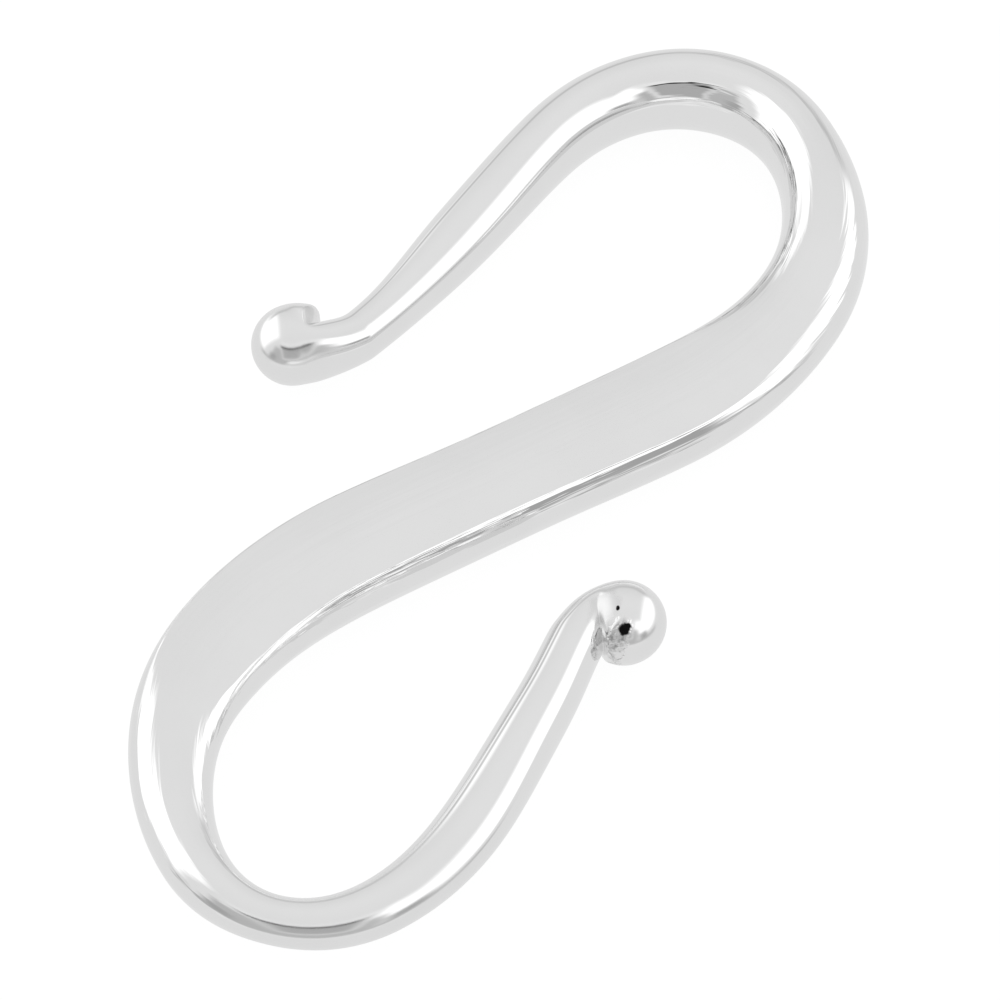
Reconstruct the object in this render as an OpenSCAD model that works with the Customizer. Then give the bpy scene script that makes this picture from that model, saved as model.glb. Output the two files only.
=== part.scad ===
// S-hook clasp: one bar bent into an S. It is wide and flat through the middle, grows
// rounder and narrower towards its two hooks, and each hook's tip ends in a ball.
// Millimetres. The clasp lies flat: +X is the long way, +Z is up, and the large hook is
// at +X. Origin: the middle of the outline, level with the lowest point.
// Each hook is a row of stretches, each with its own radius and turn. The bar's turn,
// width, thickness and squareness ease from the end of one stretch to the next.

/* [Part] */
// What to draw

/* [Middle] */
// Angle between the middle of the bar and the long way of the clasp
lean = 35; // [25:0.5:45]
// From the middle of the bar to where it starts to bend
middle_len = 4.4; // [3:0.1:7]
// How far the bar already turns along that stretch, in degrees
middle_turn = 1.8; // [0:0.1:5]
// Width at the very middle
middle_w = 3.06; // [2:0.01:3.6]
// Width where the bar starts to bend
wide_w = 3.18; // [2:0.01:3.8]
// Thickness up to where the bar starts to bend
middle_t = 1.7; // [0.9:0.05:2.4]
// Squareness of the middle's section: 2 is an ellipse, more is flatter with fuller edges
middle_square = 2.7; // [2:0.1:4]

/* [Shoulders] */
// Radius of the gentle bend that leads into each hook
lead_r = 10.5; // [6:0.1:15]
// Turn of that bend
lead_turn = 24; // [15:1:40]
// Radius of the shoulder, between the lead and the crown of the hook
shoulder_r = 6.05; // [4:0.05:9]
// Turn of the shoulder
shoulder_turn = 61; // [45:1:75]

/* [Large hook] */
// Radius of the crown, the tightest bend
large_crown_r = 3.47; // [2.8:0.01:5]
// Turn of the crown
large_crown_turn = 84; // [70:1:100]
// Radius of the easing bend after the crown
large_ease_r = 5.5; // [3.5:0.1:9]
// Turn of that bend
large_ease_turn = 30.5; // [15:0.5:40]
// Length of the arm, from the easing bend to the flick
large_arm_len = 7.9; // [4:0.05:9.5]
// How far the arm still turns inwards over its first half
large_arm_in = 3.5; // [0:0.5:8]
// How far it turns outwards again over its second half
large_arm_out = 9.5; // [0:0.5:14]
// Radius of the flick, the outward bend before the ball
large_flick_r = 2; // [1:0.1:4]
// Turn of the flick
large_flick_turn = 25; // [0:1:60]
// Length of the straight tip, from the flick to the middle of the ball
large_tip_len = 1; // [0.2:0.05:2]

/* [Large hook's width] */
// At the end of the lead
large_lead_w = 2.61; // [1.6:0.01:3.4]
// In the middle of the shoulder
large_shoulder_w = 2.27; // [1.4:0.01:3.2]
// Where the shoulder meets the crown
large_foot_w = 1.97; // [1.2:0.01:3]
// In the middle of the crown
large_crown_w = 1.98; // [1.2:0.01:3]
// At the end of the easing bend
large_ease_w = 1.79; // [1.2:0.01:2.8]
// In the middle of the arm
large_arm_w = 1.71; // [1.2:0.01:2.6]
// At the neck, before the ball
large_neck_w = 1.22; // [1.1:0.01:1.9]

/* [Large hook's thickness] */
// At the end of the lead
large_lead_t = 1.95; // [0.9:0.05:2.8]
// Through the shoulder
large_shoulder_t = 2.5; // [0.9:0.05:2.8]
// Where the shoulder meets the crown
large_foot_t = 2.4; // [0.9:0.05:2.8]
// Through the crown
large_crown_t = 2.4; // [0.9:0.05:2.8]
// At the end of the easing bend
large_ease_t = 2.25; // [0.9:0.05:2.8]
// In the middle of the arm
large_arm_t = 1.9; // [0.9:0.05:2.8]
// At the neck, before the ball
large_neck_t = 1.5; // [0.9:0.05:1.8]

/* [Small hook] */
// Radius of the crown, the tightest bend
small_crown_r = 3.18; // [2.6:0.01:5]
// Turn of the crown
small_crown_turn = 96; // [70:1:105]
// Radius of the easing bend after the crown
small_ease_r = 6.9; // [3.5:0.1:9]
// Turn of that bend
small_ease_turn = 27.5; // [15:0.5:40]
// Length of the arm, from the easing bend to the flick
small_arm_len = 5.9; // [4:0.05:8]
// How far the arm still turns inwards over its first half
small_arm_in = 4; // [0:0.5:8]
// How far it turns outwards again over its second half
small_arm_out = 2; // [0:0.5:14]
// Radius of the flick, the outward bend before the ball
small_flick_r = 1.1; // [0.85:0.05:4]
// Turn of the flick
small_flick_turn = 47; // [0:1:60]
// Length of the straight tip, from the flick to the middle of the ball
small_tip_len = 0.25; // [0.2:0.05:2]

/* [Small hook's width] */
// At the end of the lead
small_lead_w = 2.87; // [1.6:0.01:3.4]
// In the middle of the shoulder
small_shoulder_w = 2.16; // [1.2:0.01:3.2]
// Where the shoulder meets the crown
small_foot_w = 1.57; // [1:0.01:3]
// In the middle of the crown
small_crown_w = 1.18; // [1:0.01:3]
// At the end of the easing bend
small_ease_w = 1.63; // [1:0.01:2.8]
// In the middle of the arm
small_arm_w = 1.53; // [1:0.01:2.6]
// At the neck, before the ball
small_neck_w = 1.4; // [1.1:0.01:1.9]

/* [Small hook's thickness] */
// At the end of the lead
small_lead_t = 1.45; // [0.9:0.05:2.8]
// Through the shoulder
small_shoulder_t = 1.6; // [0.9:0.05:2.8]
// Where the shoulder meets the crown
small_foot_t = 1.65; // [0.9:0.05:2.8]
// Through the crown
small_crown_t = 1.2; // [0.9:0.05:2.8]
// At the end of the easing bend
small_ease_t = 1.55; // [0.9:0.05:2.8]
// In the middle of the arm
small_arm_t = 1.7; // [0.9:0.05:2.8]
// At the neck, before the ball
small_neck_t = 1.65; // [0.9:0.05:1.8]

/* [Balls] */
// Diameter of the ball at each tip
ball_d = 2.1; // [2:0.05:3]
// How much the large neck thickens by where it enters the ball
large_flare = 0.6; // [0:0.05:0.9]
// How deep the large ball is notched on its outer side, where the neck enters
large_notch = 0.4; // [0:0.05:0.45]
// How far the large ball's edge is turned out at the notch
large_lip = 0.14; // [0:0.02:0.2]
// How far the crease between them runs round the large neck, in degrees
large_crease = 170; // [60:5:300]
// How much the small neck thickens by where it enters the ball
small_flare = 0; // [0:0.05:0.9]
// How deep the small ball is notched there
small_notch = 0.1; // [0:0.05:0.3]
// How far the small ball's edge is turned out there
small_lip = 0; // [0:0.02:0.14]
// How far the crease runs round the small neck, in degrees
small_crease = 210; // [60:5:300]

/* [Hidden] */
ball_r = ball_d / 2;

// Points round the bar, and rings on a ball: from the neck to its widest ring and from
// there to its end
sides = 28;
back_rings = 8;
cap_rings = 9;

// How often the join of neck and ball is evened out
evening = 20;

// The flare of a neck begins so far from the ball's middle
flare_len = 2 * ball_r;

// Where the lip stands, as a share of the way from the neck to the ball's widest ring
lip_at = 0.22;

// Squareness fades out over the lead and the shoulder
lead_square = 2 + 0.35 * (middle_square - 2);
shoulder_square = 2 + 0.2 * (middle_square - 2);

function arc_len(r, turn) = r * turn * PI / 180;
function half_way(a, b) = (a + b) / 2;

// A hook's stretches, from the middle of the bar outwards. A row has the number of
// rings, the length and the turn of a stretch, then the bar's width, thickness and
// squareness where the stretch ends. Inward turns are positive.
large_rows = [
    [0, 0, 0, middle_w, middle_t, middle_square],
    [4, middle_len, middle_turn, wide_w, middle_t, middle_square],
    [7, arc_len(lead_r, lead_turn), lead_turn, large_lead_w, large_lead_t, lead_square],
    [6, arc_len(shoulder_r, shoulder_turn / 2), shoulder_turn / 2,
        large_shoulder_w, large_shoulder_t, shoulder_square],
    [6, arc_len(shoulder_r, shoulder_turn / 2), shoulder_turn / 2,
        large_foot_w, large_foot_t, 2],
    [9, arc_len(large_crown_r, large_crown_turn / 2), large_crown_turn / 2,
        large_crown_w, large_crown_t, 2],
    [9, arc_len(large_crown_r, large_crown_turn / 2), large_crown_turn / 2,
        half_way(large_crown_w, large_ease_w), half_way(large_crown_t, large_ease_t), 2],
    [7, arc_len(large_ease_r, large_ease_turn), large_ease_turn,
        large_ease_w, large_ease_t, 2],
    [5, large_arm_len / 2, large_arm_in, large_arm_w, large_arm_t, 2],
    [8, large_arm_len / 2, -large_arm_out, large_neck_w, large_neck_t, 2],
    [9, arc_len(large_flick_r, large_flick_turn), -large_flick_turn,
        large_neck_w, large_neck_t, 2]
];
small_rows = [
    [0, 0, 0, middle_w, middle_t, middle_square],
    [4, middle_len, middle_turn, wide_w, middle_t, middle_square],
    [7, arc_len(lead_r, lead_turn), lead_turn, small_lead_w, small_lead_t, lead_square],
    [6, arc_len(shoulder_r, shoulder_turn / 2), shoulder_turn / 2,
        small_shoulder_w, small_shoulder_t, shoulder_square],
    [6, arc_len(shoulder_r, shoulder_turn / 2), shoulder_turn / 2,
        small_foot_w, small_foot_t, 2],
    [9, arc_len(small_crown_r, small_crown_turn / 2), small_crown_turn / 2,
        small_crown_w, small_crown_t, 2],
    [9, arc_len(small_crown_r, small_crown_turn / 2), small_crown_turn / 2,
        half_way(small_crown_w, small_ease_w), half_way(small_crown_t, small_ease_t), 2],
    [7, arc_len(small_ease_r, small_ease_turn), small_ease_turn,
        small_ease_w, small_ease_t, 2],
    [5, small_arm_len / 2, small_arm_in, small_arm_w, small_arm_t, 2],
    [8, small_arm_len / 2, -small_arm_out, small_neck_w, small_neck_t, 2],
    [9, arc_len(small_flick_r, small_flick_turn), -small_flick_turn,
        small_neck_w, small_neck_t, 2]
];

// Columns of a knot, the bar's state at the end of a stretch
ALONG = 0;
TURNED = 1;
WIDTH = 2;
THICKNESS = 3;
SQUARE = 4;

function knots(rows) = [
    for (
        i = 0, along = 0, turned = 0;
        i < len(rows);
        along = along + (i + 1 < len(rows) ? rows[i + 1][1] : 0),
        turned = turned + (i + 1 < len(rows) ? rows[i + 1][2] : 0),
        i = i + 1
    )
    [along, turned, rows[i][3], rows[i][4], rows[i][5]]
];

// Slope of a column at knot i: the mean slope over both neighbours, but level at the
// ends and wherever the column stops rising or falling
function slope(k, i, col) =
    i == 0 || i == len(k) - 1 ? 0 :
    (k[i + 1][col] - k[i][col]) * (k[i][col] - k[i - 1][col]) <= 0 ? 0 :
    (k[i + 1][col] - k[i - 1][col]) / (k[i + 1][ALONG] - k[i - 1][ALONG]);

// A column's value at a distance along the bar, eased by a cubic between two knots
function eased(k, along, col, i = 0) =
    i < len(k) - 2 && along > k[i + 1][ALONG] ? eased(k, along, col, i + 1) :
    let (
        span = k[i + 1][ALONG] - k[i][ALONG],
        u = min(1, max(0, (along - k[i][ALONG]) / span))
    )
    k[i][col] * (2 * u ^ 3 - 3 * u ^ 2 + 1)
        + k[i + 1][col] * (3 * u ^ 2 - 2 * u ^ 3)
        + slope(k, i, col) * span * (u ^ 3 - 2 * u ^ 2 + u)
        + slope(k, i + 1, col) * span * (u ^ 3 - u ^ 2);

// Distances along a hook at which the bar has a ring, up to the end of the flick
function stations(rows, k) = [
    0,
    for (i = [1 : len(rows) - 1])
    for (j = [1 : rows[i][0]])
    k[i - 1][ALONG] + (k[i][ALONG] - k[i - 1][ALONG]) * j / rows[i][0]
];

// The bar's line in plan. It starts at the origin, at minus the lean angle
function plan_line(k, st) = [
    for (
        i = 0, p = [0, 0];
        i < len(st);
        p = p + (i + 1 < len(st) ? (st[i + 1] - st[i])
            * ahead(eased(k, (st[i] + st[i + 1]) / 2, TURNED)) : [0, 0]),
        i = i + 1
    )
    p
];
function ahead(turned) = [cos(turned - lean), sin(turned - lean)];
function inward(turned) = [-sin(turned - lean), cos(turned - lean)];

// A point of a section: u inwards and v upwards from the bar's line at p
function placed(p, turned, u, v) = [each (p + u * inward(turned)), v];

// Angle round a section, where 0 faces into the hook and 90 is up. The small hook runs
// the other way, so that its rings join those of the large one
function angle(i, mirrored) = mirrored ? 180 - 360 * i / sides : 360 * i / sides;

function power(x, e) = sign(x) * abs(x) ^ e;
function bar_ring(p, turned, w, t, square, mirrored) = [
    for (i = [0 : sides - 1])
    let (a = angle(i, mirrored))
    placed(p, turned, w / 2 * power(cos(a), 2 / square), t / 2 * power(sin(a), 2 / square))
];

// How much of the notch a point of the bar gets: all on the outer side, none elsewhere
function outerness(a) = smooth(0.1, 0.75, -cos(a));

// How many steps a path takes to come within r of the point c, or all of them
function entry(path, c, r, n = 1) =
    n >= len(path) - 1 && norm(path[n] - c) > r
        ? n
        : norm(path[n] - c) > r
            ? entry(path, c, r, n + 1)
            : let (before = norm(path[n - 1] - c), here = norm(path[n] - c))
                n - 1 + max(0.05, min(1, (before - r) / (before - here)));

// The point that is so many steps along a path
function along(path, steps) =
    let (n = min(len(path) - 2, floor(steps)), rest = steps - n)
    path[n] * (1 - rest) + path[n + 1] * rest;

// The neck's rings drawn on until they sit in the ball, each line of points ending
// where it enters the ball or, on the outer side, at the bottom of the notch
function seated(neck, c, notch, mirrored) =
    let (
        steps = len(neck) - 1,
        paths = [for (i = [0 : sides - 1]) [for (r = neck) r[i]]],
        ends = [
            for (i = [0 : sides - 1])
            entry(paths[i], c, ball_r - notch * outerness(angle(i, mirrored)))
        ]
    )
    [
        for (m = [0 : steps])
        [for (i = [0 : sides - 1]) along(paths[i], ends[i] * m / steps)]
    ];

// A ring on the back of the ball, a share s of the way from the neck's last ring to the
// ball's widest ring. The first of them stands out as the lip of the notch
function back_ring(seat, c, turned, s, lip, mirrored) = [
    for (i = [0 : sides - 1])
    let (
        b = angle(i, mirrored),
        start = seat[i] - c,
        stop = placed([0, 0], turned, cos(b), sin(b)),
        way = start / norm(start) * (1 - s) + stop * s,
        outer = outerness(b),
        sunk = (norm(start) - ball_r) * (1 - s) ^ 2 * (1 - outer),
        proud = lip * outer * ((1 - s) / (1 - lip_at)) ^ 2
    )
    c + way / norm(way) * (ball_r + sunk + proud)
];

// A ring of the ball beyond its middle c
function cap_ring(c, turned, a, mirrored) = [
    for (i = [0 : sides - 1])
    let (b = angle(i, mirrored), r = ball_r * cos(a))
    placed(c + ball_r * sin(a) * ahead(turned), turned, r * cos(b), r * sin(b))
];

// Rings evened out along the bar on the side that faces into the hook, where the crease
// between neck and ball fades out. The first ring and the last stay as they are
function evened(rings, crease, mirrored, passes) =
    passes == 0
        ? rings
        : evened([
            for (n = [0 : len(rings) - 1])
            n == 0 || n == len(rings) - 1
                ? rings[n]
                : [
                    for (i = [0 : sides - 1])
                    let (
                        off_outer = acos(-cos(angle(i, mirrored))),
                        part = 0.5 * smooth(crease / 2 - 20, crease / 2 + 20, off_outer)
                    )
                    rings[n][i] * (1 - part) + (rings[n - 1][i] + rings[n + 1][i]) / 2 * part
                ]
        ], crease, mirrored, passes - 1);

// How much the neck thickens by, x before the ball's middle
function flared(x, flare) = flare * max(0, 1 - x / flare_len) ^ 2;

// All rings of one hook, from the middle of the bar to the end of the ball, then the
// ball's last point. Neck and ball are flush on the side that faces into the hook
function hook_rings(rows, tip_len, flare, notch, lip, crease, mirrored) =
    let (
        k = knots(rows),
        st = stations(rows, k),
        line = plan_line(k, st),
        last = len(rows) - 1,
        bend_end = len(st) - 1,
        turned = k[last][TURNED],
        w = k[last][WIDTH],
        t = k[last][THICKNESS],
        tip = line[bend_end] + tip_len * ahead(turned),
        c = tip - (ball_r - w / 2) * inward(turned),
        middle = [c[0], c[1], 0],
        neck_from = st[bend_end] + tip_len - 1.6 * ball_r,
        short = 0.3 * ball_r,
        straight_rings = max(0, ceil((tip_len - short) / 0.12)),
        bar = [
            for (i = [0 : bend_end])
            bar_ring(
                line[i],
                eased(k, st[i], TURNED),
                eased(k, st[i], WIDTH),
                eased(k, st[i], THICKNESS) + flared(st[bend_end] + tip_len - st[i], flare),
                eased(k, st[i], SQUARE),
                mirrored
            )
        ],
        straight = [
            for (j = [1 : 1 : straight_rings])
            let (x = tip_len + (short - tip_len) * j / straight_rings)
            bar_ring(tip - x * ahead(turned), turned, w, t + flared(x, flare), 2, mirrored)
        ],
        free = len([for (x = st) if (x < neck_from) x]),
        neck = [
            for (i = [free : bend_end]) if (st[i] <= st[bend_end] + tip_len - short) bar[i],
            for (r = straight) r
        ],
        seat = seated(neck, middle, notch, mirrored),
        seat_ring = seat[len(seat) - 1],
        back = [
            for (j = [1 : back_rings])
            let (s = lip_at + (1 - lip_at) * (j - 1) / (back_rings - 1))
            back_ring(seat_ring, middle, turned, s, lip, mirrored)
        ]
    )
    [
        for (i = [0 : free - 1]) bar[i],
        for (r = evened([for (r = seat) r, for (r = back) r], crease, mirrored, evening)) r,
        for (j = [1 : cap_rings - 1])
        cap_ring(c, turned, 90 * j / cap_rings, mirrored),
        [placed(c + ball_r * ahead(turned), turned, 0, 0)]
    ];
function smooth(from, to, x) =
    let (u = min(1, max(0, (x - from) / (to - from))))
    3 * u ^ 2 - 2 * u ^ 3;

function backwards(list) = [for (i = [len(list) - 1 : -1 : 0]) list[i]];

// The small hook, turned half way round, runs up to the middle, and the large one on
// from there
function half_turned(ring) = [for (q = ring) [-q[0], -q[1], q[2]]];
function all_rings() =
    let (
        small = hook_rings(
            small_rows, small_tip_len, small_flare,
            small_notch, small_lip, small_crease, true
        ),
        large = hook_rings(
            large_rows, large_tip_len, large_flare,
            large_notch, large_lip, large_crease, false
        )
    )
    [
        for (r = backwards(small)) half_turned(r),
        for (i = [1 : len(large) - 1]) large[i]
    ];

function low(points, axis) = min([for (q = points) q[axis]]);
function high(points, axis) = max([for (q = points) q[axis]]);

// One closed skin: a fan round the point of each ball and bands between the rings
module s_hook() {
    points = [for (r = all_rings()) for (q = r) q];
    rings = (len(points) - 2) / sides;
    last = len(points) - 1;
    faces = [
        for (i = [0 : sides - 1]) [0, 1 + i, 1 + (i + 1) % sides],
        for (r = [0 : rings - 2])
        for (i = [0 : sides - 1])
        let (
            here = 1 + r * sides,
            next = here + sides,
            j = (i + 1) % sides
        )
        [here + i, next + i, next + j, here + j],
        for (i = [0 : sides - 1]) [last, last - sides + (i + 1) % sides, last - sides + i]
    ];
    middle = [
        half_way(low(points, 0), high(points, 0)),
        half_way(low(points, 1), high(points, 1)),
        low(points, 2)
    ];
    color("silver")
    translate(-middle)
    polyhedron(points, faces, convexity = 6);
}

s_hook();
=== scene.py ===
# %% [markdown]
# # An S-hook clasp in polished silver
#
# The clasp is one piece of silver, a bar in the form of an S, polished all over. A
# polished metal has almost no look of its own: what is seen is the room around it, bent
# by the metal's curves. So this script has three jobs: a skin that is smooth enough to be
# a mirror, the silver itself with its small marks of making and of wear, and a studio
# worth reflecting.

import math

import bmesh
import bpy
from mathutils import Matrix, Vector


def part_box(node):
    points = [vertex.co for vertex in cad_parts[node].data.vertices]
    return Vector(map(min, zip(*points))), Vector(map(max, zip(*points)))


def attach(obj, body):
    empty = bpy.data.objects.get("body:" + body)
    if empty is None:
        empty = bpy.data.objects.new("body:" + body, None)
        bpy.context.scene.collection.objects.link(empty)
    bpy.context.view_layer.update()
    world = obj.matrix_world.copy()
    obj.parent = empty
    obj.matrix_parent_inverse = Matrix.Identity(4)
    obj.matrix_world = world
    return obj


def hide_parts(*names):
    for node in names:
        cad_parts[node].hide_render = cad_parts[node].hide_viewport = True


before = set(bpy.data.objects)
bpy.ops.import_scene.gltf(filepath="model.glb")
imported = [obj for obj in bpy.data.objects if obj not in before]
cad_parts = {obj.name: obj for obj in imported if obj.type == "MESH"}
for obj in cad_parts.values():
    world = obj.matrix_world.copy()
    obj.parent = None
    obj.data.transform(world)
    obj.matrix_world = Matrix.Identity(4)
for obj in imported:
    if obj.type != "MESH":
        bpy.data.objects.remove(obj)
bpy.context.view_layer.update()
scene = bpy.context.scene
scene.view_settings.view_transform = "Standard"

# %% [markdown]
# ## Where the camera stands
#
# The camera looks down at the lying clasp through a long lens, with the clasp's long way
# running across the view and away from it. The studio is arranged from that direction
# too, so the camera's turn about Z and its rise above the floor are named once here. The
# point that it looks at is given from the middle of the clasp's box.

# %% The camera
FACING = math.radians(-65.27)
RISE = math.radians(52)
DISTANCE = 0.11764
LENS = 171.5
OFF_MIDDLE = Vector((-0.00091, -0.00116, 0))

lowest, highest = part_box("s_hook")
target = (lowest + highest) / 2 + OFF_MIDDLE
backwards = Vector((math.sin(FACING), -math.cos(FACING), 0)) * math.cos(RISE)
backwards.z = math.sin(RISE)
camera_data = bpy.data.cameras.new("camera")
camera_data.sensor_width = 36
camera_data.lens = LENS
camera_data.clip_start = 0.001
camera_data.clip_end = 10
camera = bpy.data.objects.new("camera", camera_data)
camera.location = target + DISTANCE * backwards
camera.rotation_euler = (math.radians(90) - RISE, 0, FACING)
scene.collection.objects.link(camera)
scene.camera = camera
print("camera at, mm:", [round(1000 * v, 1) for v in camera.location])

# %% [markdown]
# ## The skin
#
# A mirror shows every facet it has. The frame's mesh is a finely faceted bar: rings of
# points, one after another, with a fan of triangles over the end of each ball. Smooth
# shading would hide the facets inside the outline but not along it, so a Subdivision
# Surface rounds them. That modifier works best on four-sided faces that follow the bar,
# so the frame's mesh has to be put in order first.
#
# The loose triangles are merged into one surface, and the rings are found by walking over
# it from the end of one ball. The two ends are easy to tell: no other point has as many
# edges. The small hook's end is the one that lies lower along Y.

# %% The rings of the bar
def merged_copy(mesh):
    """A bmesh copy of a mesh, made one surface, with a layer for straightened places."""
    bm = bmesh.new()
    bm.from_mesh(mesh)
    bmesh.ops.remove_doubles(bm, verts=bm.verts, dist=1e-6)
    bm.verts.layers.float_vector.new("straightened")
    bm.verts.ensure_lookup_table()
    return bm


def middle_of(ring):
    return sum((v.co for v in ring), Vector()) / len(ring)


def in_order(ring):
    """The points of a ring in the order in which they follow each other."""
    members = set(ring)
    path = [ring[0]]
    while len(path) < len(ring):
        around = [edge.other_vert(path[-1]) for edge in path[-1].link_edges]
        path.append(next(v for v in around if v in members and v not in path))
    return path


def matched(ring, before):
    """The same ring, started and turned so that its points lie beside the last one's."""
    shift = middle_of(ring) - middle_of(before)
    best = None
    for way in (ring, ring[::-1]):
        for start in range(len(way)):
            turned = way[start:] + way[:start]
            apart = sum((a.co - b.co - shift).length for a, b in zip(turned, before))
            if best is None or apart < best[0]:
                best = (apart, turned)
    return best[1]


def bar_rings(bm):
    """Rings of points from the small hook's tip to the large one's, in matching order."""
    sides = max(len(v.link_edges) for v in bm.verts)
    ends = [v for v in bm.verts if len(v.link_edges) == sides]
    first = min(ends, key=lambda v: v.co.y)
    ring, seen, rings = [first], {first}, []
    while ring:
        rings.append(ring)
        ring = list({
            edge.other_vert(v) for v in ring for edge in v.link_edges
        } - seen)
        seen.update(ring)
        if len(ring) > 1:
            ring = in_order(ring)
            if len(rings) > 1:
                ring = matched(ring, rings[-1])
    return rings


bm = merged_copy(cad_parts["s_hook"].data)
rings = bar_rings(bm)
print("rings:", len(rings), "of", {len(ring) for ring in rings}, "points")

# %% [markdown]
# ### Faces that follow the bar
#
# Between two rings, each four-sided face is cut in two by a diagonal. A diagonal joins
# points of different rings that also have different numbers in their rings, which is how
# it is told from the edges along the bar and round it. With the diagonals dissolved only
# the fans at the two ends are still triangles.

# %% The four-sided faces
number = {v: (n, i) for n, ring in enumerate(rings) for i, v in enumerate(ring)}
diagonals = [
    edge for edge in bm.edges
    if all(0 < number[v][0] < len(rings) - 1 for v in edge.verts)
    and number[edge.verts[0]][0] != number[edge.verts[1]][0]
    and number[edge.verts[0]][1] != number[edge.verts[1]][1]
]
bmesh.ops.dissolve_edges(bm, edges=diagonals)
print("faces by number of sides:", {
    n: sum(len(face.verts) == n for face in bm.faces)
    for n in {len(face.verts) for face in bm.faces}
})

# %% [markdown]
# ### The bar, straightened out
#
# Marks left by drawing, filing and polishing run along the bar round every bend, so the
# metal needs to know, for every point, where it would lie if the bar were straight. The
# rings give that: X is the way along their middles, Y is across the bar and Z is up. In
# those coordinates the marks are simply lines along X.

# %% The straightened bar
straight = bm.verts.layers.float_vector["straightened"]
middles = [middle_of(ring) for ring in rings]
acrosses = []
run = 0
for n, ring in enumerate(rings):
    if n:
        run += (middles[n] - middles[n - 1]).length
    before, after = middles[max(n - 1, 0)], middles[min(n + 1, len(rings) - 1)]
    across = Vector((0, 0, 1)).cross((after - before).normalized())
    acrosses.append(across)
    for v in ring:
        off = v.co - middles[n]
        v[straight] = (run, off.dot(across), off.z)
LENGTH = 1000 * run
print("length of the bar along its middle, mm:", round(LENGTH, 2))

# %% [markdown]
# ### The middles of the balls
#
# Marks near the balls are placed from the balls' middles. A ball's rings grow from its
# tip, so its middle is in the first ring that is higher than the one after it.

# %% The balls
def half_sizes(ring):
    """Half the width and half the height of a ring."""
    return max(abs(v[straight].y) for v in ring), max(abs(v[straight].z) for v in ring)


def ball_middle(rings):
    """The middle of the ball at the start of the rings, in mm."""
    for ring, after in zip(rings[1:], rings[2:]):
        if half_sizes(ring)[1] > half_sizes(after)[1]:
            return 1000 * middle_of(ring)


SMALL_BALL = ball_middle(rings)
LARGE_BALL = ball_middle(rings[::-1])
print("middles of the balls, mm:", [[round(v, 2) for v in m] for m in (SMALL_BALL, LARGE_BALL)])

# %% [markdown]
# ### The flattened middle
#
# At the two hooks the bar is nearly round, and its middle is wide and flat, like
# hammered metal. A hammer leaves a flat face that ends in a soft arris, and below the
# arris the side drops away steeply. The arris gives the middle its crisp lower edge in
# the mirror image. So a quarter of the flattened section is drawn once, and the points of
# the wide rings move to it, most of the way along the surface that they already lie on.
# The flatter the ring, the further they go, and a crease keeps the subdivision from
# rounding the arris away.

# %% The flattened middle
# a quarter of the section, from the side to the top, as shares of its half width and height
FLATTENED = ((1, 0), (0.97, 0.26), (0.916, 0.54), (0.851, 0.747),
             (0.825, 0.812), (0.74, 0.853), (0.33, 0.981), (0, 1))
# which of those points is on the arris
ARRIS = 4
CREASE = 0.9
# how many times wider than high a ring is where the flattening starts, and where it is full
STARTS, FULL = 1.4, 1.9


def eased(value, start, stop):
    """0 below start and 1 above stop, with a soft curve between them."""
    x = min(max((value - start) / (stop - start), 0), 1)
    return x * x * (3 - 2 * x)


def slimness(ring):
    wide, high = half_sizes(ring)
    return wide / high


# the points of all the rings are in matching order, so one ring tells where the top is
slimmest = max(rings[1:-1], key=slimness)
top = max(range(len(slimmest)), key=lambda i: slimmest[i][straight].z)
quarter = len(slimmest) // 4
# how many points away from the nearer side each point of a ring is
from_side = [abs((i - top) % (2 * quarter) - quarter) for i in range(len(slimmest))]
flatness = {}
for ring, across in zip(rings[1:-1], acrosses[1:-1]):
    wide, high = half_sizes(ring)
    flat = eased(slimness(ring), STARTS, FULL)
    for v, step in zip(ring, from_side):
        _, off_across, off_up = v[straight]
        goal_across = math.copysign(FLATTENED[step][0] * wide, off_across)
        goal_up = math.copysign(FLATTENED[step][1] * high, off_up)
        v.co += flat * (goal_across - off_across) * across
        v.co.z += flat * (goal_up - off_up)
        if step == ARRIS:
            flatness[v] = flat
crease = bm.edges.layers.float.new("crease_edge")
for edge in bm.edges:
    if all(v in flatness for v in edge.verts):
        edge[crease] = CREASE * min(flatness[v] for v in edge.verts)
print("points on the arrises:", sum(flat > 0 for flat in flatness.values()))

# %% [markdown]
# ### The rounded skin
#
# Two rounds of subdivision turn each four-sided face into sixteen, which is fine enough
# for a mirror. They draw the skin in by about a hundredth of a millimetre. The skin takes
# the place of the frame's bar, which is hidden, and it is attached to the root body.

# %% The rounded skin
for face in bm.faces:
    face.smooth = True
skin_mesh = bpy.data.meshes.new("silver_skin")
bm.to_mesh(skin_mesh)
bm.free()
skin = bpy.data.objects.new("silver_skin", skin_mesh)
scene.collection.objects.link(skin)
rounding = skin.modifiers.new("rounding", "SUBSURF")
rounding.levels = rounding.render_levels = 2
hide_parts("s_hook")
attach(skin, "root")
print("faces in the skin before rounding:", len(skin_mesh.polygons))

# %% [markdown]
# ## Node helpers
#
# Shader trees are long to write out by hand, so a few short functions add the nodes that
# come up most. `value` can be a number or another node's output.

# %% Node helpers
def add_node(tree, kind, settings=None, **values):
    """A node of that kind, with its settings and its unlinked sockets' values."""
    node = tree.nodes.new(kind)
    for name, value in (settings or {}).items():
        setattr(node, name, value)
    for name, value in values.items():
        feed(tree, node.inputs[name.replace("_", " ")], value)
    return node


def feed(tree, socket, value):
    """Links value to the socket if it is an output, and sets it if it is a number."""
    if isinstance(value, bpy.types.NodeSocket):
        tree.links.new(value, socket)
    else:
        socket.default_value = value


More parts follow.
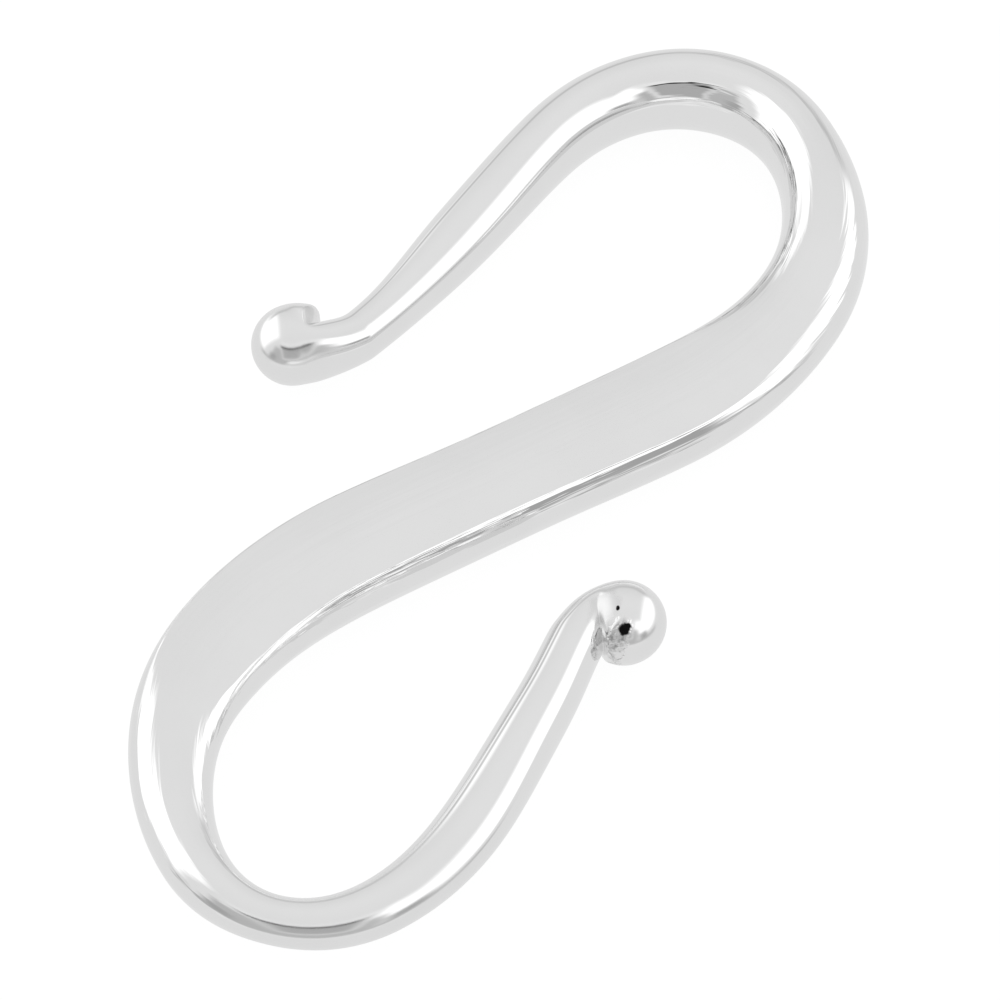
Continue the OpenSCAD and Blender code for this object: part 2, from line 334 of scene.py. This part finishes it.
def maths(tree, operation, a, b=0.0, clamp=False):
    node = add_node(tree, "ShaderNodeMath", {"operation": operation, "use_clamp": clamp})
    feed(tree, node.inputs[0], a)
    feed(tree, node.inputs[1], b)
    return node.outputs[0]


def vector_maths(tree, operation, a, b=(0, 0, 0)):
    """The node, because the result's socket depends on the operation."""
    node = add_node(tree, "ShaderNodeVectorMath", {"operation": operation})
    feed(tree, node.inputs[0], a)
    feed(tree, node.inputs[1], b)
    return node


def times(tree, *values):
    product = values[0]
    for value in values[1:]:
        product = maths(tree, "MULTIPLY", product, value)
    return product


def rises(tree, value, start, stop):
    """0 at start and 1 at stop, with a soft curve between them, whichever is the larger."""
    node = add_node(tree, "ShaderNodeMapRange", {"interpolation_type": "SMOOTHSTEP"})
    feed(tree, node.inputs["Value"], value)
    feed(tree, node.inputs["From Min"], start)
    feed(tree, node.inputs["From Max"], stop)
    return node.outputs["Result"]


def lay(tree, under, over, mask):
    """Lays one grey over another where the mask is 1."""
    node = add_node(tree, "ShaderNodeMix", {"data_type": "FLOAT"})
    feed(tree, node.inputs["Factor"], mask)
    feed(tree, node.inputs["A"], under)
    feed(tree, node.inputs["B"], over)
    return node.outputs["Result"]


def mixed(tree, mask, under, over):
    """One shader where the mask is 0, and another where it is 1."""
    node = add_node(tree, "ShaderNodeMixShader", Fac=mask)
    feed(tree, node.inputs[1], under.outputs[0])
    feed(tree, node.inputs[2], over.outputs[0])
    return node


def new_group(name, inputs, outputs):
    """An empty node group, and the sockets inside it, for its inputs and its outputs."""
    group = bpy.data.node_groups.new(name, "ShaderNodeTree")
    for direction, sockets in (("INPUT", inputs), ("OUTPUT", outputs)):
        for socket, kind in sockets.items():
            group.interface.new_socket(socket, in_out=direction, socket_type="NodeSocket" + kind)
    given = group.nodes.new("NodeGroupInput").outputs
    wanted = group.nodes.new("NodeGroupOutput").inputs
    return group, given, wanted


def use_group(tree, group, **values):
    """The outputs of a node group that is placed in a tree with its own values."""
    return add_node(tree, "ShaderNodeGroup", {"node_tree": group}, **values).outputs


print("node helpers are ready for Blender", bpy.app.version_string)

# %% [markdown]
# ## The studio
#
# The clasp lies in a light tent of pale cloth. What its surface shows can be drawn as a
# round chart of the tent, seen from the clasp: straight up is in the middle of the chart,
# and a thing's distance from the middle is its angle off straight up. `Side` runs to the
# camera's right and `Front` towards the camera, both in degrees. `Swing` is how far round
# a thing is from the camera's side, from 0 at the camera to 180 behind the clasp.

# %% The chart of the studio
DEGREES = 180 / math.pi

chart, given, wanted = new_group(
    "tent chart", {"Direction": "Vector", "Facing": "Float"},
    {"Side": "Float", "Front": "Float", "Off Top": "Float", "Swing": "Float"},
)
turned = add_node(chart, "ShaderNodeVectorRotate", {"rotation_type": "Z_AXIS"},
                  Vector=given["Direction"], Angle=given["Facing"])
x, y, z = add_node(chart, "ShaderNodeSeparateXYZ", Vector=turned.outputs[0]).outputs
y = times(chart, y, -1.0)
off_top = times(chart, maths(chart, "ARCCOSINE", z), DEGREES)
level = maths(chart, "SQRT", maths(chart, "ADD", times(chart, x, x), times(chart, y, y)))
spread = maths(chart, "DIVIDE", off_top, maths(chart, "MAXIMUM", level, 0.0001))
feed(chart, wanted["Side"], times(chart, x, spread))
feed(chart, wanted["Front"], times(chart, y, spread))
feed(chart, wanted["Off Top"], off_top)
swing = maths(chart, "ARCTAN2", maths(chart, "ABSOLUTE", x), y)
feed(chart, wanted["Swing"], times(chart, swing, DEGREES))
print("readings of the chart:", [socket.name for socket in wanted if socket.name])

# %% [markdown]
# ### The tent
#
# The tent is painted on the chart in soft-edged patches, each over the ones before it.
# A patch is a grey, and the bands of the chart's readings in which it lies.
#
# - Two long lamps shine through the cloth, one to the left and one to the right. They
#   leave the white stripes that run down the clasp's bars.
# - The camera looks in through an opening in the front, with a pale hem round it. Past
#   the opening the room is dim, and the edge of the lens is black. That is the black arc
#   on the crown of the large hook, and the dark spot low on its ball.
# - The cloth round the opening is in shade. With the opening itself it is the dark
#   crescent on the crown of the small hook.
# - The table is as bright as the tent. Its front edge has a dark seam and a bright one,
#   and at the two front corners a dark rail runs along it. The steep side of the
#   flattened middle mirrors that rail as a dark line.
#
# A world shader suits this better than cards do: it is the same from everywhere, so the
# stripes stay where they are put, and nothing stands between the camera and the clasp.

# %% The tent
# greys, from 0 for black to 1 for white, with the lamps brighter than white
BACK_OF_THE_ROOF = 0.80
CLOTH = 0.83
LAMP = 1.3

world = bpy.data.worlds.new("tent")
scene.world = world
world.use_nodes = True
tree = world.node_tree
tree.nodes.clear()
direction = add_node(tree, "ShaderNodeTexCoord").outputs["Generated"]
readings = use_group(tree, chart, Direction=direction, Facing=-FACING)
side, front, off_top, swing = (readings[name] for name in ("Side", "Front", "Off Top", "Swing"))
either_side = maths(tree, "ABSOLUTE", side)
towards_camera = (front, 27, None, 5)

# each band has a reading, its lowest and highest degrees, and half the width of its edges
TENT = {
    "roof": (0.86, (front, -47.5, None, 27.5)),
    "front of the roof": (CLOTH, (front, 10, None, 30)),
    "walls": (CLOTH, (either_side, 72.5, None, 12.5)),
    "shaded front": (0.53, (off_top, 58, None, 4), (swing, None, 55, 5), (side, None, 50, 10)),
    "left lamp": (LAMP, (side, None, -32.5, 7), (front, -77, 15, 9), (off_top, None, 90, 4)),
    "right lamp": (LAMP, (side, 46, None, 6), (front, -62, 58, 6), (off_top, None, 85, 3)),
    "end of the right lamp": (LAMP, (side, 32, 50, 5), (front, 26, 50, 5)),
    "hem": (0.92, (side, -32, 32, 6), (off_top, 38, 83, 4), towards_camera),
    "opening": (0.46, (side, -29, 27, 5), (off_top, 49, 80, 2), towards_camera),
    "edge of the lens": (0.01, (side, -32, 24, 5), (off_top, 48.5, 54, 1.5), towards_camera),
    "fold of the back cloth": (0.58, (off_top, 74, 84, 5), (swing, 140, None, 10)),
    "table": (CLOTH, (off_top, 95, None, 4)),
    "rail": (0.42, (off_top, 79, 96, 3), (swing, 42, 60, 6)),
    "dark seam": (0.48, (off_top, 93.5, 99, 2.5), (swing, None, 86, 10)),
    "bright seam": (0.95, (off_top, 102.5, 105.5, 2), (swing, None, 53, 5)),
}


def within(reading, low, high, soft):
    """1 inside a band and 0 outside it. A limit that is None is left open."""
    edges = []
    if low is not None:
        edges.append(rises(tree, reading, low - soft, low + soft))
    if high is not None:
        edges.append(rises(tree, reading, high + soft, high - soft))
    return times(tree, *edges)


tent = BACK_OF_THE_ROOF
for grey, *bands in TENT.values():
    tent = lay(tree, tent, grey, times(tree, *(within(*band) for band in bands)))
print("patches in the tent:", len(TENT), "of", len(tree.nodes), "nodes")

# %% [markdown]
# ## White behind the clasp
#
# To the camera the background is burnt out to pure white, which is how small goods are
# shown. The Light Path node tells the rays apart. A camera ray gets white, and a ray
# that has been mirrored by the metal or has passed through glass gets the tent with its
# pale table. All other rays only carry light, and they get an even grey.

# %% The world's output
EVEN_LIGHT = 0.85

rays = add_node(tree, "ShaderNodeLightPath").outputs
mirrored = maths(tree, "ADD", rays["Is Glossy Ray"], rays["Is Transmission Ray"], clamp=True)
light = add_node(tree, "ShaderNodeBackground", Color=(EVEN_LIGHT, EVEN_LIGHT, EVEN_LIGHT, 1))
room = add_node(tree, "ShaderNodeBackground", Color=tent)
white = add_node(tree, "ShaderNodeBackground", Color=(1, 1, 1, 1))
lit = mixed(tree, mirrored, light, room)
shown = mixed(tree, rays["Is Camera Ray"], lit, white)
add_node(tree, "ShaderNodeOutputWorld", Surface=shown.outputs[0])
print("backgrounds in the world:", sum(n.bl_idname == "ShaderNodeBackground" for n in tree.nodes))

# %% [markdown]
# ## The table
#
# The table is plain white and matt. To the camera most of it is a glow just brighter
# than white, so that it matches the white behind it, and the rest is a real matt surface
# that darkens a little under the clasp. That small part is what keeps the clasp's soft
# shadow.
#
# The table is hidden from the metal itself, which has the tent's own table to mirror.

# %% The table
TABLE_RADIUS = 0.6
PAPER = (0.84, 0.88)
FIBRES_PER_METRE = 900.0
GLOW = 1.08
GLOWING_SHARE = 0.85

bm = bmesh.new()
bmesh.ops.create_circle(bm, cap_ends=True, segments=96, radius=TABLE_RADIUS)
table_mesh = bpy.data.meshes.new("table")
bm.to_mesh(table_mesh)
bm.free()
table = bpy.data.objects.new("table", table_mesh)
scene.collection.objects.link(table)
table.visible_glossy = False

paper = bpy.data.materials.new("white_paper")
paper.use_nodes = True
tree = paper.node_tree
tree.nodes.clear()
rays = add_node(tree, "ShaderNodeLightPath").outputs
looked_at = maths(tree, "ADD", rays["Is Camera Ray"], rays["Is Glossy Ray"])
looked_at = maths(tree, "ADD", looked_at, rays["Is Transmission Ray"], clamp=True)
on_table = add_node(tree, "ShaderNodeTexCoord").outputs["Object"]
fibres = add_node(tree, "ShaderNodeTexNoise", Vector=on_table, Scale=FIBRES_PER_METRE)
shade = lay(tree, *PAPER, fibres.outputs["Fac"])
matt = add_node(tree, "ShaderNodeBsdfDiffuse", Color=shade)
glow = add_node(tree, "ShaderNodeEmission", Strength=GLOW)
surface = mixed(tree, times(tree, looked_at, GLOWING_SHARE), matt, glow)
add_node(tree, "ShaderNodeOutputMaterial", Surface=surface.outputs[0])
table.data.materials.append(paper)
print("table, across, m:", 2 * TABLE_RADIUS)

# %% [markdown]
# ## The marks on the silver
#
# Three kinds of mark are kept apart, each in its own node group. All of them work in mm.
#
# *Drawn lines.* A bar is filed and polished lengthwise, and the last polish never takes
# all of that out. It leaves long, very shallow ripples along the bar, about a hundredth
# of a millimetre deep. They hardly show on the flat top, where the whole surface mirrors
# one even piece of tent. Along the arris, where the mirror image changes fast, they break
# the dark and bright stripes into threads. Three noises are added, each finer than the
# last, because a file leaves scratches of many sizes.

# %% Drawn lines
# for each noise, its changes per mm along the bar and across it, and its share of the height
FILE_MARKS = ((0.10, 2.2, 0.6), (0.35, 7.0, 0.3), (0.9, 16.0, 0.1))

drawn, given, wanted = new_group("drawn lines", {"Place": "Vector"}, {"Height": "Float"})
height = 0.0
for along, across, part in FILE_MARKS:
    scaled = vector_maths(drawn, "MULTIPLY", given["Place"], (along, across, across)).outputs[0]
    noise = add_node(drawn, "ShaderNodeTexNoise", Vector=scaled, Scale=1.0, Detail=1.0)
    height = maths(drawn, "ADD", height, times(drawn, noise.outputs["Fac"], part))
feed(drawn, wanted["Height"], height)
print("nodes in", drawn.name + ":", len(drawn.nodes))

# %% [markdown]
# *Haze.* Handling leaves a cloudy softness, in patches about as wide as the bar. It is a
# single noise, cut to its middle values so that most of the metal is either clear or hazy.

# %% Haze
# the values of the noise between which the metal goes from clear to hazy
HAZY = (0.35, 0.7)

haze, given, wanted = new_group("haze", {"Place": "Vector", "Size": "Float"}, {"Amount": "Float"})
cloud = add_node(haze, "ShaderNodeTexNoise", Vector=given["Place"], Detail=4.0, Roughness=0.6,
                 Scale=maths(haze, "DIVIDE", 1.0, given["Size"]))
feed(haze, wanted["Amount"], rises(haze, cloud.outputs["Fac"], *HAZY))
print("nodes in", haze.name + ":", len(haze.nodes))

# %% [markdown]
# *Crust.* A wheel can't reach into the corner where a neck meets its ball, so the metal
# there keeps its rough skin and catches black polishing compound. A patch of crust is an
# egg shape round its middle, as far as its reach goes each way. A noise is added to the
# distance before the edge is cut, which makes the edge ragged, and the same noise is put
# out as the grain of the crust.

# %% Crust
RAGGEDNESS = 1.2
# the distances, as shares of the reach, between which the crust goes from none to full
CUT = (1.1, 0.7)

crust, given, wanted = new_group(
    "crust", {"Place": "Vector", "Middle": "Vector", "Reach": "Vector", "Grain": "Float"},
    {"Mask": "Float", "Grain": "Float"},
)
off = vector_maths(crust, "SUBTRACT", given["Place"], given["Middle"]).outputs[0]
reaches = vector_maths(crust, "DIVIDE", off, given["Reach"]).outputs[0]
apart = vector_maths(crust, "LENGTH", reaches).outputs["Value"]
grain = add_node(crust, "ShaderNodeTexNoise", Vector=given["Place"], Detail=2.0, Roughness=0.55,
                 Scale=given["Grain"]).outputs["Fac"]
rough_edge = times(crust, maths(crust, "SUBTRACT", grain, 0.5), RAGGEDNESS)
feed(crust, wanted["Mask"], rises(crust, maths(crust, "ADD", apart, rough_edge), *CUT))
feed(crust, wanted["Grain"], grain)
print("mark groups:", [group.name for group in bpy.data.node_groups])

# %% [markdown]
# ## The silver
#
# Silver is a plain metal with a neutral, very pale colour, so the shader is a Principled
# BSDF with Metallic 1 and a low Roughness. Everything else comes from the marks, and
# first they are given their places. Haze and crust lie in space, so they read the Object
# coordinates. Drawn lines follow the bar, so they read the straightened ones.

# %% The silver's coordinates
silver = bpy.data.materials.new("polished_silver")
silver.use_nodes = True
tree = silver.node_tree
bsdf = tree.nodes["Principled BSDF"]
bsdf.inputs["Metallic"].default_value = 1


def in_mm(vector):
    node = add_node(tree, "ShaderNodeVectorMath", {"operation": "SCALE"}, Scale=1000.0)
    feed(tree, node.inputs[0], vector)
    return node.outputs[0]


place = in_mm(add_node(tree, "ShaderNodeTexCoord").outputs["Object"])
attribute = add_node(tree, "ShaderNodeAttribute", {"attribute_name": "straightened"})
on_bar = in_mm(attribute.outputs["Vector"])
from_small_tip = add_node(tree, "ShaderNodeSeparateXYZ", Vector=on_bar).outputs["X"]
from_large_tip = maths(tree, "SUBTRACT", LENGTH, from_small_tip)
print("the silver reads:", attribute.attribute_name, "and the Object coordinates")

# %% [markdown]
# ### Where the marks are
#
# Both balls have a little crust in the corner behind them. On the small ball there are
# also two black spots, a painted reflection of the camera's dark lens, and a dull patch at
# the neck that the wheel only brushed.

# %% Where the marks are
# each mark has its ball, its middle as an offset from the ball's middle, and its reach, in mm
CORNERS = ((SMALL_BALL, (-0.787, -0.213, 0.45), (0.4, 0.25, 1.0)),
           (LARGE_BALL, (0.083, -0.405, 0.35), (0.25, 0.25, 0.3)))
# the two black spots are a painted reflection: black colour where the camera's dark lens is
# mirrored on the small ball
PAINTED_LENS_REFLECTION = ((SMALL_BALL, (-0.667, -0.313, 0.74), (0.24, 0.15, 0.15)),
            (SMALL_BALL, (-0.327, 0.027, 0.99), (0.07, 0.05, 0.06)))
DULL_NECK = ((SMALL_BALL, (-0.367, 0.407, 0.9), (0.5, 0.45, 0.45)),)
# how fine the grain is in each kind of mark, in changes per mm
CORNER_GRAIN, LENS_REFLECTION_GRAIN, DULL_GRAIN = 5.0, 7.0, 2.0
# the values of the grain between which a corner goes from bare metal to dirt
DIRTY = (0.42, 0.66)


def crusted(marks, fineness):
    """Where the marks are, and their grain."""
    mask = 0.0
    for ball, offset, reach in marks:
        made = use_group(tree, crust, Place=place, Middle=ball + Vector(offset), Reach=reach,
                         Grain=fineness)
        mask = maths(tree, "MAXIMUM", mask, made["Mask"])
    return mask, made["Grain"]


corner, grain = crusted(CORNERS, CORNER_GRAIN)
# the mask of the painted reflection of the dark lens on the small ball
painted_reflection, _ = crusted(PAINTED_LENS_REFLECTION, LENS_REFLECTION_GRAIN)
dull, _ = crusted(DULL_NECK, DULL_GRAIN)
dirt = times(tree, corner, rises(tree, grain, *DIRTY))
print("marks placed:", len(CORNERS) + len(PAINTED_LENS_REFLECTION) + len(DULL_NECK))

# %% [markdown]
# ### Where the polish is worn
#
# The two balls and the crown of the small hook are what rings and fingers rub on, so
# their polish is a little softer. The ripples of the drawn lines are kept to the wide
# middle, because the hooks were worked and polished more. All of these are stretches of
# the bar, so their ends are given as ways along it from one of its tips.

# %% Where the polish is worn
# in mm, where each change begins and where it is complete
BALL_STOPS = (2.3, 1.7)
CROWN_STARTS, CROWN_STOPS = (8.0, 10.0), (16.0, 14.0)
RIPPLES_FROM_SMALL_TIP, RIPPLES_FROM_LARGE_TIP = (14.0, 17.0), (13.0, 17.0)
CLOUD_SIZE = 2.5

balls = maths(tree, "ADD", rises(tree, from_small_tip, *BALL_STOPS),
              rises(tree, from_large_tip, *BALL_STOPS))
crown = times(tree, rises(tree, from_small_tip, *CROWN_STARTS),
              rises(tree, from_small_tip, *CROWN_STOPS))
worn = maths(tree, "MAXIMUM", balls, crown)
rippled = times(tree, rises(tree, from_small_tip, *RIPPLES_FROM_SMALL_TIP),
                rises(tree, from_large_tip, *RIPPLES_FROM_LARGE_TIP))
clouds = use_group(tree, haze, Place=place, Size=CLOUD_SIZE)["Amount"]
print("nodes for wear, ripples and haze are in place:", len(tree.nodes), "in all")

# %% [markdown]
# ### The colour and the polish
#
# Haze makes the polish a little softer and the silver a shade darker. The crust is
# darker and rough, the dull neck is in between, and the black spots of painted reflection are
# black and matt.

# %% The colour and the polish
# the black of the painted reflection stands for the camera's dark lens mirrored in the small ball
GREYS = {"clear": 0.855, "hazy": 0.84, "dull": 0.76, "dirt": 0.42, "painted_reflection": 0.01}
ROUGHNESS = {"clear": 0.03, "hazy": 0.07, "worn": 0.17, "dull": 0.34, "painted_reflection": 0.6}

grey = lay(tree, GREYS["clear"], GREYS["hazy"], clouds)
for finish, mask in (("dull", dull), ("dirt", dirt), ("painted_reflection", painted_reflection)):
    grey = lay(tree, grey, GREYS[finish], mask)
feed(tree, bsdf.inputs["Base Color"], grey)

unpolished = maths(tree, "MAXIMUM", corner, dull)
rough = lay(tree, ROUGHNESS["clear"], ROUGHNESS["hazy"], clouds)
for finish, mask in (("worn", worn), ("dull", unpolished), ("painted_reflection", painted_reflection)):
    rough = lay(tree, rough, ROUGHNESS[finish], mask)
feed(tree, bsdf.inputs["Roughness"], rough)
print("greys:", GREYS, "roughness:", ROUGHNESS)

# %% [markdown]
# ### The relief
#
# The ripples and the pits of the crust are too shallow to be worth modelling, so two
# Bump nodes in a row tilt the mirror instead. Their Distance is a real depth in metres.

# %% The relief
RIPPLE_DEPTH = 0.00004
PIT_DEPTH = 0.0001
PIT_STRENGTH = 0.6

lines = use_group(tree, drawn, Place=on_bar)["Height"]
ripples = add_node(tree, "ShaderNodeBump", Height=times(tree, lines, rippled),
                   Distance=RIPPLE_DEPTH, Strength=1.0)
pits = add_node(tree, "ShaderNodeBump", Height=times(tree, corner, grain), Distance=PIT_DEPTH,
                Strength=PIT_STRENGTH, Normal=ripples.outputs[0])
feed(tree, bsdf.inputs["Normal"], pits.outputs[0])
skin.data.materials.append(silver)
print("nodes in the silver:", len(tree.nodes))
